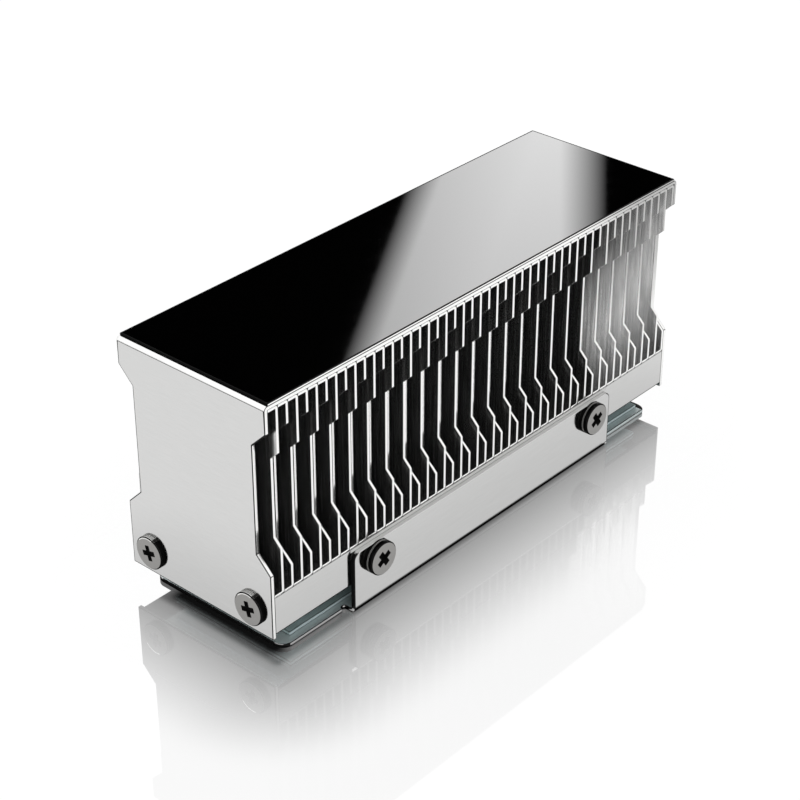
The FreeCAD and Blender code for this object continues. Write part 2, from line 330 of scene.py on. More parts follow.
@dataclass(frozen=True)
class PlatedMetal:
    """Bright plated sheet or bar, with fine rolling marks and a slightly uneven polish.

    The far shade is painted shade: how much of the colour is left towards the far upper end, over the two
    spans in metres.
    """

    name: str
    colour: Colour = (0.66, 0.66, 0.655)
    roughness: float = 0.1
    unevenness: float = 0.04
    grain: Grain = Grain.NONE
    marks: float = 0.05
    mark_depth: float = 0.002
    metallic: float = 1.0
    refraction: float = 1.5
    mottle: float = 0.03
    fineness: float = 9000.0
    patches: float = 90.0
    painted_far_shade: float = 1.0
    far_end: Span = (0.016, 0.032)
    far_top: Span = (0.012, 0.027)

    def material(self) -> Material:
        """Build the material.

        Returns:
            The new material.
        """
        material, shader = new_material(self.name)
        patches = shader.noise(Grain.NONE, scale=self.patches)
        lines = shader.noise(self.grain, scale=self.fineness, detail=5.0)
        polish = shader.smooth(patches, *NOISE_RANGE, self.roughness, self.roughness + self.unevenness)
        tint = shader.smooth(lines, *LINE_RANGE, 1.0 - self.mottle, 1.0)
        # Painted shade: the colour darkens towards the far upper end, by place on the object.
        if self.painted_far_shade < 1.0:
            place = shader.parts(shader.add("TexCoord").outputs["Object"])
            far = shader.times(shader.smooth(place["X"], *self.far_end),
                               shader.smooth(place["Z"], *self.far_top))
            tint = shader.times(tint, shader.math("MULTIPLY_ADD", far, self.painted_far_shade - 1.0, 1.0))
        shade = shader.add("MixRGB", blend_type="MULTIPLY")
        shader.feed(shade, fac=1.0, color1=(*self.colour, 1.0), color2=tint)
        shader.principled(base_color=shade.outputs["Color"], metallic=self.metallic, roughness=polish,
                          ior=self.refraction, normal=shader.bump(lines, self.marks, self.mark_depth))
        return material


def edge_line(name: str) -> PlatedMetal:
    """Give the dull dark finish of a line of painted shade along an edge, which stays dark from every side."""
    return PlatedMetal(name, colour=(0.012, 0.012, 0.012), roughness=0.4, metallic=0.0, refraction=1.15)


def cut_edge(name: str, painted_far_shade: float) -> PlatedMetal:
    """Give the bright finish of a sheet's cut edge, with the far shade painted towards the far upper end."""
    return PlatedMetal(name, colour=(0.97, 0.97, 0.96), roughness=0.2, marks=0.1, painted_far_shade=painted_far_shade)


@dataclass(frozen=True)
class BlackGloss:
    """Polished black plate with a faint waviness that only its reflections show."""

    name: str
    colour: Colour = (0.0004, 0.0004, 0.0004)
    roughness: float = 0.02
    refraction: float = 1.6
    wave_scale: float = 25.0
    waviness: float = 0.05
    wave_depth: float = 0.02
    haze_scale: float = 400.0
    haze: float = 1.4

    def material(self) -> Material:
        """Build the material.

        Returns:
            The new material.
        """
        material, shader = new_material(self.name)
        waves = shader.noise(Grain.NONE, scale=self.wave_scale, detail=1.0)
        haze = shader.smooth(shader.noise(Grain.NONE, scale=self.haze_scale), *NOISE_RANGE, self.roughness,
                             self.roughness * self.haze)
        shader.principled(base_color=(*self.colour, 1.0), roughness=haze, ior=self.refraction,
                          normal=shader.bump(waves, self.waviness, self.wave_depth))
        return material


@dataclass(frozen=True)
class SiliconePad:
    """Filled silicone: matt, with fine grains of filler."""

    name: str
    colour: Colour = (0.26, 0.34, 0.34)
    pale: Colour = (0.33, 0.42, 0.43)
    roughness: float = 0.55
    filler_scale: float = 5000.0
    graininess: float = 0.4
    grain_depth: float = 0.02
    cloud_scale: float = 260.0

    def material(self) -> Material:
        """Build the material.

        Returns:
            The new material.
        """
        material, shader = new_material(self.name)
        filler = shader.noise(Grain.NONE, scale=self.filler_scale, detail=4.0)
        clouds = shader.noise(Grain.NONE, scale=self.cloud_scale)
        shade = shader.add("MixRGB")
        shader.feed(shade, fac=shader.smooth(clouds, *NOISE_RANGE), color1=(*self.colour, 1.0),
                    color2=(*self.pale, 1.0))
        shader.principled(base_color=shade.outputs["Color"], roughness=self.roughness,
                          normal=shader.bump(filler, self.graininess, self.grain_depth))
        return material


Finish = PlatedMetal | BlackGloss | SiliconePad


def built(*finishes: Finish) -> list[Material]:
    """Build the materials of some finishes, in their order."""
    return [part.material() for part in finishes]


def select_only(piece: Piece) -> None:
    """Deselect everything, then select one object and make it the active one."""
    bpy.ops.object.select_all(action="DESELECT")
    piece.select_set(True)
    bpy.context.view_layer.objects.active = piece


def link_copy(piece: Piece) -> Piece:
    """Copy an object with a mesh of its own.

    Args:
        piece: The object to copy.

    Returns:
        The copy, in the scene.
    """
    copy = piece.copy()
    copy.data = piece.data.copy()
    bpy.context.scene.collection.objects.link(copy)
    return copy


class Workpiece:
    """One mesh under work, in millimetres, shaped with the edit-mode tools on what is chosen by place."""

    def __init__(self, name: str) -> None:
        """Take the primitive that was just added as the work.

        Args:
            name: The piece's name.
        """
        self.piece = bpy.context.active_object
        self.piece.name = name
        self.piece.data.name = name
        select_only(self.piece)

    @classmethod
    def plate(cls, name: str, low: Place, high: Place) -> "Workpiece":
        """Start from a flat plane between two corners that differ along two axes.

        Args:
            name: The piece's name.
            low: The lowest corner.
            high: The highest corner.

        Returns:
            The workpiece.
        """
        low, high = Vector(low), Vector(high)
        size = high - low
        if size.x < 1e-6:
            turn, scale = (0.0, math.pi / 2, 0.0), (size.z, size.y, 1.0)
        else:
            turn, scale = (0.0, 0.0, 0.0), (size.x, size.y, 1.0)
        bpy.ops.mesh.primitive_plane_add(size=1.0, location=(low + high) / 2, rotation=turn)
        work = cls(name)
        work.piece.scale = scale
        work.apply_place()
        return work

    @classmethod
    def brick(cls, name: str, low: Place, high: Place) -> "Workpiece":
        """Start from a box between two corners, to be shaped further.

        Args:
            name: The piece's name.
            low: The lowest corner.
            high: The highest corner.

        Returns:
            The workpiece.
        """
        low, high = Vector(low), Vector(high)
        bpy.ops.mesh.primitive_cube_add(size=1.0, location=(low + high) / 2)
        work = cls(name)
        work.piece.scale = high - low
        work.apply_place()
        return work

    @classmethod
    def disc(cls, name: str, radius: float, depth: float, sides: int = 64) -> "Workpiece":
        """Start from a short cylinder that stands on the origin, to be shaped further.

        Args:
            name: The piece's name.
            radius: The cylinder's radius.
            depth: Its height.
            sides: How many sides it has.

        Returns:
            The workpiece.
        """
        bpy.ops.mesh.primitive_cylinder_add(vertices=sides, radius=radius, depth=depth,
                                            location=(0, 0, depth / 2))
        work = cls(name)
        work.apply_place()
        return work

    def apply_place(self) -> None:
        """Move the object's own place, turn and scale into its mesh."""
        select_only(self.piece)
        bpy.ops.object.transform_apply(location=True, rotation=True, scale=True)

    def choose(self, mode: str, test: Test) -> None:
        """Select the vertices, edges or faces whose middle passes a test, in edit mode.

        Args:
            mode: VERT, EDGE or FACE.
            test: Tells from a middle whether it is wanted.
        """
        select_only(self.piece)
        bpy.ops.object.mode_set(mode="EDIT")
        bpy.ops.mesh.select_mode(type=mode)
        bpy.ops.mesh.select_all(action="DESELECT")
        mesh = bmesh.from_edit_mesh(self.piece.data)
        if mode == "VERT":
            for vertex in mesh.verts:
                vertex.select = test(vertex.co)
        elif mode == "EDGE":
            for edge in mesh.edges:
                edge.select = test((edge.verts[0].co + edge.verts[1].co) / 2)
        else:
            for face in mesh.faces:
                face.select = test(face.calc_center_median())
        mesh.select_flush_mode()
        bmesh.update_edit_mesh(self.piece.data)

    def done(self) -> None:
        """Leave edit mode."""
        bpy.ops.object.mode_set(mode="OBJECT")

    def edit(self, mode: str, test: Test, tool: Callable[..., object], **settings: object) -> None:
        """Use an edit-mode tool on what a test picks.

        Args:
            mode: VERT, EDGE or FACE.
            test: Tells from a middle whether it is wanted.
            tool: The operator.
            settings: The operator's settings.
        """
        self.choose(mode, test)
        tool(**settings)
        self.done()

    def extrude(self, edges: Test, move: Place) -> None:
        """Pull new sheet out of the edges that a test picks."""
        self.edit("EDGE", edges, bpy.ops.mesh.extrude_region_move,
                  TRANSFORM_OT_translate={"value": tuple(move)})

    def bevel_edges(self, edges: Test, width: float, segments: int = FOLD_SEGMENTS) -> None:
        """Round the folds that a test picks, or chamfer them with one segment."""
        self.edit("EDGE", edges, bpy.ops.mesh.bevel, offset=width, offset_type="OFFSET", segments=segments,
                  affect="EDGES")

    def bevel_corners(self, corners: Test, radius: float) -> None:
        """Round the flat corners that a test picks."""
        self.edit("VERT", corners, bpy.ops.mesh.bevel, offset=radius, offset_type="OFFSET",
                  segments=FOLD_SEGMENTS, affect="VERTICES")

    def slice(self, places: Iterable[Place], normal: Place, faces: Test) -> None:
        """Cut the chosen faces along planes, to give them edges there.

        Args:
            places: A point on each plane.
            normal: The planes' normal.
            faces: Tells the faces' middles.
        """
        for place in places:
            self.edit("FACE", faces, bpy.ops.mesh.bisect, plane_co=tuple(place), plane_no=tuple(normal),
                      threshold=1e-5)

    def shift(self, vertices: Test, move: Place) -> None:
        """Move the vertices that a test picks."""
        self.edit("VERT", vertices, bpy.ops.transform.translate, value=tuple(move))

    def modify(self, kind: str, **settings: object) -> None:
        """Add a modifier with its settings and apply it.

        Args:
            kind: The modifier's type.
            settings: Its settings.
        """
        select_only(self.piece)
        modifier = self.piece.modifiers.new(kind.title(), kind)
        for name, value in settings.items():
            setattr(modifier, name, value)
        bpy.ops.object.modifier_apply(modifier=modifier.name)

    def combine(self, operation: str, tool: Piece) -> None:
        """Cut another solid away by DIFFERENCE, or join it on by UNION, and remove it."""
        self.modify("BOOLEAN", operation=operation, solver="EXACT", object=tool)
        bpy.data.objects.remove(tool)

    def thicken(self, thickness: float) -> None:
        """Give the sheet its thickness on the inner side, with its cut edges in the second material."""
        self.modify("SOLIDIFY", thickness=thickness, offset=-1.0, use_even_offset=True, material_offset_rim=1)

    def soften(self, width: float, segments: int = 2, finish_index: int = -1) -> None:
        """Round off the sharp edges, in one of the piece's finishes or, for -1, in the one beside them."""
        self.modify("BEVEL", width=width, segments=segments, limit_method="ANGLE", angle_limit=EDGE_ANGLE,
                    material=finish_index, use_clamp_overlap=False)

    def face_away_from(self, inside: Place) -> None:
        """Turn each face of an open sheet outwards.

        Args:
            inside: A point on the sheet's inner side.
        """
        mesh = bmesh.new()
        mesh.from_mesh(self.piece.data)
        for face in mesh.faces:
            if face.normal.dot(face.calc_center_median() - Vector(inside)) < 0:
                face.normal_flip()
        mesh.to_mesh(self.piece.data)
        mesh.free()

    def dress(self, materials: Iterable[Material]) -> None:
        """Give the piece its materials.

        Args:
            materials: The materials in the order of the piece's finishes.
        """
        self.piece.data.materials.clear()
        for material in materials:
            self.piece.data.materials.append(material)

    def dress_where(self, index: int, test: Callable[[Face], bool]) -> None:
        """Give one of the piece's finishes to some of its faces.

        Args:
            index: The finish's place in the order.
            test: Tells which faces take it.
        """
        for face in self.piece.data.polygons:
            if test(face):
                face.material_index = index

    def outline(self, faces: Test, width: float) -> None:
        """Draw a thin line round the faces that a test picks.

        Args:
            faces: Tells the faces' middles.
            width: How wide the line is.
        """
        self.choose("FACE", faces)
        self.piece.active_material_index = Layer.LINE
        bpy.ops.object.material_slot_assign()
        bpy.ops.mesh.inset(thickness=width, depth=0)
        self.piece.active_material_index = Layer.FACE
        bpy.ops.object.material_slot_assign()
        self.done()

    def waist(self, depth: float, lower: float, upper: float, half_width: float, wall: Test) -> None:
        """Draw the sides of upright walls in between two heights, with 45 degree ends.

        Args:
            depth: How far each side goes in.
            lower: The height where the lower slope starts.
            upper: The height where the upper slope ends.
            half_width: Half the wall's full width.
            wall: Tells the walls' places from the rest.
        """
        levels = (lower, lower + depth, upper - depth, upper)
        self.slice([(0, 0, level) for level in levels], (0, 0, 1), wall)
        for side in (1, -1):
            self.shift(lambda place: wall(place) and lower + depth - CLOSE < place.z < upper - depth + CLOSE
                       and near(place.y, side * half_width), (0, -side * depth, 0))


def finish(piece: Piece, slot: Slot, *nodes: str) -> None:
    """Bring a piece to metres, smooth its rounded parts, and let it stand for its nodes.

    Args:
        piece: The finished piece.
        slot: The record's slot that its finish comes from; not used.
        nodes: The CAD nodes it replaces.
    """
    piece.data.transform(Matrix.Scale(MILLIMETRE, 4))
    select_only(piece)
    bpy.ops.object.shade_smooth_by_angle(angle=SMOOTH_ANGLE)
    modifier = piece.modifiers.new("Flat faces", "WEIGHTED_NORMAL")
    modifier.weight = 100
    modifier.keep_sharp = True
    bpy.ops.object.modifier_apply(modifier=modifier.name)
    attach(piece, BODY)
    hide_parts(*nodes)
    log.info("%s stands for %s", piece.name, ", ".join(nodes))


@dataclass(frozen=True)
class Waist:
    """The sloped cut in a sheet's sides: its depth, and its distance from the fins' top and from the block."""

    depth: float
    drop: float
    rise: float


SHALLOW_WAIST = Waist(depth=1.08, drop=6.25, rise=6.3)
DEEP_WAIST = Waist(depth=2.2, drop=3.05, rise=3.25)


@dataclass
class FinStack:
    """Folded sheet fins that stand side by side, with shallow and deep waists by turns."""

    count: int = 48
    thickness: float = 0.35
    fold_radius: float = 0.4
    fold_segments: int = 5
    softening: float = 0.035
    flange_line: float = 0.2
    faces: PlatedMetal = PlatedMetal("fin_plate", roughness=0.12, grain=Grain.ALONG_Z, marks=0.12,
                                     metallic=0.96, mottle=0.5, fineness=4000.0)
    # The fins' cut edges take painted shade towards the far upper end.
    edges: PlatedMetal = cut_edge("fin_cut_edge", painted_far_shade=0.54)

    def model(self, name: str, waist: Waist, node: str) -> Workpiece:
        """Fold one fin in the place of a node.

        Args:
            name: The fin's name.
            waist: The waist in its sides.
            node: The node whose box it fills.

        Returns:
            The folded fin, without its materials.
        """
        low, high = node_box(node)
        work = Workpiece.plate(name, (high.x, low.y, low.z), (high.x, high.y, high.z))
        for level in (high.z, low.z):
            work.extrude(lambda middle: near(middle.z, level), (low.x - high.x, 0, 0))
        work.face_away_from((low + high) / 2)
        work.bevel_edges(lambda middle: near(middle.x, high.x) and near(middle.y, 0)
                         and (near(middle.z, low.z) or near(middle.z, high.z)),
                         self.fold_radius, self.fold_segments)
        work.waist(waist.depth, low.z + waist.rise, high.z - waist.drop, high.y,
                   lambda place: near(place.x, high.x))
        return work

    def build(self) -> None:
        """Model one fin of each kind and set a copy in the place of every node."""
        finishes = built(self.faces, self.edges)
        for start, waist in ((1, SHALLOW_WAIST), (2, DEEP_WAIST)):
            first = f"fin_{start:02d}"
            low, high = node_box(first)
            work = self.model(f"folded_{first}", waist, first)
            work.dress(finishes)
            work.thicken(self.thickness)
            line = low.z + self.flange_line
            work.slice([(0, 0, line)], (0, 0, 1), lambda middle: abs(middle.y) > high.y - CLOSE)
            work.dress_where(Layer.FACE, lambda face: abs(face.normal.y) > STRAIGHT and face.center.z < line)
            work.soften(self.softening, finish_index=Layer.CUT)
            for number in range(start + 2, self.count + 1, 2):
                node = f"fin_{number:02d}"
                copy = link_copy(work.piece)
                copy.name = copy.data.name = f"folded_{node}"
                copy.data.transform(Matrix.Translation((node_box(node)[1].x - high.x, 0, 0)))
                finish(copy, Slot.FIN, node)
            finish(work.piece, Slot.FIN, first)


@dataclass
class Cover:
    """One folded sheet: the top and both end plates, which have the deep waist."""

    thickness: float = 0.5
    fold_radius: float = 0.55
    softening: float = 0.06
    line: float = 0.13
    faces: PlatedMetal = PlatedMetal("cover_plate", roughness=0.09, grain=Grain.ALONG_Y)
    # The cover's cut edges take painted shade towards the far upper end.
    edges: PlatedMetal = cut_edge("cover_cut_edge", painted_far_shade=0.5)
    # A dark line of painted shade for the edges.
    dark_line: PlatedMetal = edge_line("cover_edge_line")

    def build(self) -> None:
        """Fold the cover in the place of its node."""
        low, high = node_box("cover")
        fins_low, fins_high = node_box("fin_01")
        work = Workpiece.plate("folded_cover", (low.x, low.y, high.z), (high.x, high.y, high.z))
        for end in (low.x, high.x):
            work.extrude(lambda middle: near(middle.x, end), (0, 0, low.z - high.z))
        work.face_away_from((0, 0, (low.z + high.z) / 2))
        work.bevel_edges(lambda middle: near(abs(middle.x), high.x) and near(middle.z, high.z)
                         and near(middle.y, 0), self.fold_radius)
        work.waist(DEEP_WAIST.depth, fins_low.z + DEEP_WAIST.rise, fins_high.z - DEEP_WAIST.drop, high.y,
                   lambda place: near(abs(place.x), high.x))
        work.dress(built(self.faces, self.edges, self.dark_line))
        work.thicken(self.thickness)
        # Painted shade: the end plates' outlines and the softened edges take the dark line finish.
        for end in (low.x, high.x):
            work.outline(lambda middle: near(middle.x, end), self.line)
        work.soften(self.softening, finish_index=Layer.LINE)
        finish(work.piece, Slot.COVER, "cover")


@dataclass
class TopPanel:
    """A thin polished plate on the flat of the cover."""

    softening: float = 0.06
    line: float = 0.22
    gloss: BlackGloss = BlackGloss("black_gloss_plate")
    # The plate's edge takes painted shade towards the far upper end.
    edge: PlatedMetal = PlatedMetal("plate_edge", colour=(0.95, 0.95, 0.94), roughness=0.2, painted_far_shade=0.5)
    dark_line: PlatedMetal = PlatedMetal("plate_edge_line", colour=(0.003, 0.003, 0.003), roughness=0.5,
                                    metallic=0.0, refraction=1.12)

    def build(self) -> None:
        """Shape the plate in the place of its node."""
        low, high = node_box("top_panel")
        work = Workpiece.brick("top_plate", low, high)
        work.dress(built(self.gloss, self.edge, self.dark_line))
        work.dress_where(Layer.CUT, lambda face: abs(face.normal.y) > HALF)
        work.dress_where(Layer.LINE, lambda face: abs(face.normal.x) > HALF)
        work.outline(lambda middle: near(middle.z, high.z), self.line)
        work.soften(self.softening, 3, finish_index=Layer.LINE)
        finish(work.piece, Slot.PANEL, "top_panel")


@dataclass
class BaseBlock:
    """The solid bar under the fins, with a dull strip over the wings and a dark line of painted shade along
    its foot.
    """

    chamfer: float = 0.2
    line: float = 0.12
    softening: float = 0.04
    metal: PlatedMetal = PlatedMetal("block_plate", roughness=0.1, grain=Grain.ALONG_X, marks=0.06)
    milled: PlatedMetal = PlatedMetal("block_milled_strip", colour=(0.66, 0.66, 0.65), roughness=0.4,
                                      metallic=0.15)
    dark_line: PlatedMetal = edge_line("block_edge_line")

    def build(self) -> None:
        """Shape the bar in the place of its node."""
        low, high = node_box("base_block")
        wing_top, wing_end = node_box("tray")[1].z, high.x - Tray.wing_inset
        foot = low.z + self.chamfer + self.line
        work = Workpiece.brick("base_bar", low, high)
        work.bevel_edges(lambda middle: near(middle.z, low.z) and near(abs(middle.y), high.y), self.chamfer, 1)
        for level in (foot, wing_top):
            work.slice([(0, 0, level)], (0, 0, 1), lambda middle: abs(middle.y) > high.y - CLOSE)
        work.slice([(-wing_end, 0, 0), (wing_end, 0, 0)], (1, 0, 0),
                   lambda middle: abs(middle.y) > high.y - CLOSE and middle.z > wing_top)
        work.dress(built(self.metal, self.milled, self.dark_line))
        # Painted shade: the foot and the softened edges take the dark line finish.
        work.dress_where(Layer.LINE, lambda face: abs(face.normal.y) > HALF and face.center.z < foot)
        work.dress_where(Layer.CUT, lambda face: abs(face.normal.y) > STRAIGHT and face.center.z > wing_top
                         and abs(face.center.x) < wing_end)
        work.soften(self.softening, finish_index=Layer.LINE)
        finish(work.piece, Slot.BLOCK, "base_block")


@dataclass
class Tray:
    """One folded sheet: a floor with round corners and relief notches, and a wing on each side."""

    thickness: float = 0.6
    fold_radius: float = 0.7
    corner_radius: float = 1.5
    wing_corner_radius: float = 1.0
    wing_inset: float = 12.9
    side_inset: float = 0.8
    relief_radius: float = 0.4
    relief_sides: int = 24
    line: float = 0.14
    softening: float = 0.08
    top_band: float = 0.1
    wing_foot: float = 1.0
    corner_turn: float = 0.15
    # Where the floor's near corner takes a painted highlight: its length, side and depth.
    floor_gleam: Point = (0.5, 9.0, 0.09)
    metal: PlatedMetal = PlatedMetal("tray_plate", roughness=0.08, grain=Grain.ALONG_X)
    edges: PlatedMetal = PlatedMetal("tray_cut_edge", colour=(0.5, 0.5, 0.5), roughness=0.16, marks=0.1)
    dark_line: PlatedMetal = edge_line("tray_edge_line")
    milled: PlatedMetal = PlatedMetal("wing_top_edge", colour=(0.68, 0.68, 0.67), roughness=0.4, metallic=0.2)
    # Painted reflection: a near-black finish that stands in for the dark that these edges mirror.
    sheared: PlatedMetal = PlatedMetal("wing_sheared_edge", colour=(0.006, 0.006, 0.006), roughness=0.2,
                                       metallic=0.0, refraction=1.2)
    # Painted reflection: a pale teal tint that stands in for the pads mirrored in the tray.
    inner: PlatedMetal = PlatedMetal("tray_inner_face", colour=(0.64, 0.72, 0.72), roughness=0.35,
                                     metallic=0.6, grain=Grain.ALONG_X)

    def build(self) -> None:
        """Fold the tray in the place of its node."""
        low, high = node_box("tray")
        block = node_box("base_block")[1]
        pad_end = node_box("thermal_pad_lower")[1].x
        half_floor = block.y - self.side_inset
        wing_end = block.x - self.wing_inset
        work = Workpiece.plate("folded_tray", (low.x, -half_floor, 0), (high.x, half_floor, 0))
        work.slice([(wing_end, 0, 0), (-wing_end, 0, 0), (pad_end, 0, 0)], (1, 0, 0), lambda middle: True)
        for side in (1, -1):
            work.extrude(lambda middle: near(middle.y, side * half_floor) and abs(middle.x) < wing_end,
                         (0, side * (high.y - half_floor), 0))
            work.extrude(lambda middle: near(middle.y, side * high.y), (0, 0, high.z))
        work.face_away_from((0, 0, high.z / 2))
        work.bevel_corners(lambda place: near(abs(place.x), high.x), self.corner_radius)
        work.bevel_corners(lambda place: near(place.z, high.z), self.wing_corner_radius)
        work.bevel_edges(lambda middle: near(abs(middle.y), high.y) and near(middle.z, 0)
                         and near(middle.x, 0), self.fold_radius)
        work.dress(built(self.metal, self.edges, self.dark_line, self.milled, self.sheared, self.inner))
        work.thicken(self.thickness)
        self.dress_faces(work, low, high, wing_end, pad_end)
        for along in (1, -1):
            for across in (1, -1):
                notch = Workpiece.disc("relief_tool", self.relief_radius, 4 * self.thickness,
                                       self.relief_sides)
                notch.piece.location = (along * (wing_end + self.relief_radius), across * half_floor,
                                        -self.thickness)
                work.combine("DIFFERENCE", notch.piece)
        # Painted shade: the softened edges take the dark line finish, which makes a dark contact line along
        # the tray's foot.
        work.soften(self.softening, finish_index=Layer.LINE)
        work.dress_where(Layer.MILLED, lambda face: face.normal.z > SLIGHTLY and abs(face.normal.x) < HARDLY
                         and face.center.z > high.z - self.top_band)
        # Painted highlight: a few faces of the dark line take the lighter cut edge finish.
        work.dress_where(Layer.CUT, lambda face: face.material_index == Layer.LINE
                         and self.takes_painted_highlight(face, high))
        finish(work.piece, Slot.TRAY, "tray")

    def dress_faces(self, work: Workpiece, low: Vector, high: Vector, wing_end: float, pad_end: float) -> None:
        """Outline the wings in painted shade, and give the tray's tops, ends and inner faces their own
        finishes: a painted dark reflection on the ends, a painted pad reflection on the inner faces and
        painted shade on the floor past the lower pad.

        Args:
            work: The thickened tray.
            low: The tray's lowest corner.
            high: Its highest corner.
            wing_end: Where the wings end, along X.
            pad_end: Where the lower pad ends, along X.
        """
        # Painted shade: a dark line round each wing's face.
        for side in (low.y, high.y):
            work.outline(lambda middle: near(middle.y, side) and middle.z > self.fold_radius, self.line)
        work.dress_where(Layer.FACE, lambda face: face.material_index == Layer.LINE
                         and face.center.z > high.z - self.line)
        work.dress_where(Layer.MILLED, lambda face: face.normal.z > WELL
                         and face.center.z > high.z - self.top_band)
        # Painted reflection: the wings' end edges and the floor's near corner are painted near-black.
        work.dress_where(Layer.SHEARED, lambda face: abs(face.normal.x) > HALF
                         and face.center.z > self.wing_foot)
        work.dress_where(Layer.SHEARED, lambda face: face.normal.x < -self.corner_turn
                         and face.center.z < self.thickness
                         and face.center.x < low.x + self.corner_radius)
        # Painted reflection: the floor inside and the side edges past the wings take the pads' teal tint.
        work.dress_where(Layer.INNER, lambda face: face.normal.z > WELL
                         and near(face.center.z, self.thickness))
        # Painted shade: the floor past the lower pad, under the block's end, takes the dark line finish.
        work.dress_where(Layer.LINE, lambda face: face.normal.z > WELL and face.center.x > pad_end)
        work.dress_where(Layer.INNER, lambda face: face.normal.y < -STRAIGHT and face.center.x > wing_end
                         and face.center.z < self.thickness)

    def takes_painted_highlight(self, face: Face, high: Vector) -> bool:
        """Tell the few edge faces that take a painted highlight, inside the wings' round corners and at the
        floor's.

        Args:
            face: A face of the finished tray.
            high: The tray's highest corner.

        Returns:
            Whether it takes the painted highlight.
        """
        middle, (length, side, depth) = face.center, self.floor_gleam
        wing_corner = (middle.z > high.z - self.wing_corner_radius
                       and abs(middle.y) < high.y - self.thickness / 2)
        floor_corner = (0 < self.thickness - middle.z < depth and middle.x < length - high.x
                        and abs(middle.y) > side)
        return (wing_corner or floor_corner) and abs(face.normal.x) > SLIGHTLY


@dataclass
class ThermalPads:
    """Two soft pads with rounded, slightly uneven edges."""

    rounding: float = 0.16
    unevenness: float = 0.03
    cuts: int = 60
    waves: Span = (0.9, 2.3)
    edge_turns: Span = (0.3, 0.98)
    silicone: SiliconePad = SiliconePad("pad_silicone")
    # Painted light: the lower pad's cut sides are a paler copy of the silicone.
    cut: SiliconePad = SiliconePad("pad_cut_side", colour=(0.42, 0.51, 0.53), pale=(0.5, 0.6, 0.62))
    # Painted shade: the rounded edges take a darker copy of the silicone.
    painted_crease_shade: SiliconePad = SiliconePad("pad_edge_line", colour=(0.08, 0.11, 0.11), pale=(0.11, 0.15, 0.15))

    def build(self) -> None:
        """Shape each pad in the place of its node. Only the lower one has its cut sides painted paler, as
        painted light.
        """
        finishes = built(self.silicone, self.cut, self.painted_crease_shade)
        for node, painted_lit_sides in (("thermal_pad_lower", True), ("thermal_pad_upper", False)):
            low, high = node_box(node)
            work = Workpiece.brick(f"soft_{node}", low, high)
            work.edit("EDGE", lambda middle: near(middle.x, (low.x + high.x) / 2), bpy.ops.mesh.subdivide,
                      number_cuts=self.cuts)
            work.soften(self.rounding, 3)
            for place in work.piece.data.vertices:
                side = 1 if place.co.y > 0 else -1
                wave = (math.sin(place.co.x * self.waves[0] + side)
                        + math.sin(place.co.x * self.waves[1] - side))
                place.co.y -= side * self.unevenness * (1 + wave / 2)
            work.dress(finishes)
            # Painted light on the lower pad's cut sides.
            work.dress_where(Layer.CUT, lambda face: painted_lit_sides and abs(face.normal.y) > HALF)
            # Painted shade in the rounded edges' creases.
            level, upright = self.edge_turns
            work.dress_where(Layer.LINE, lambda face: level < abs(face.normal.z) < upright)
            finish(work.piece, Slot.PAD, node)


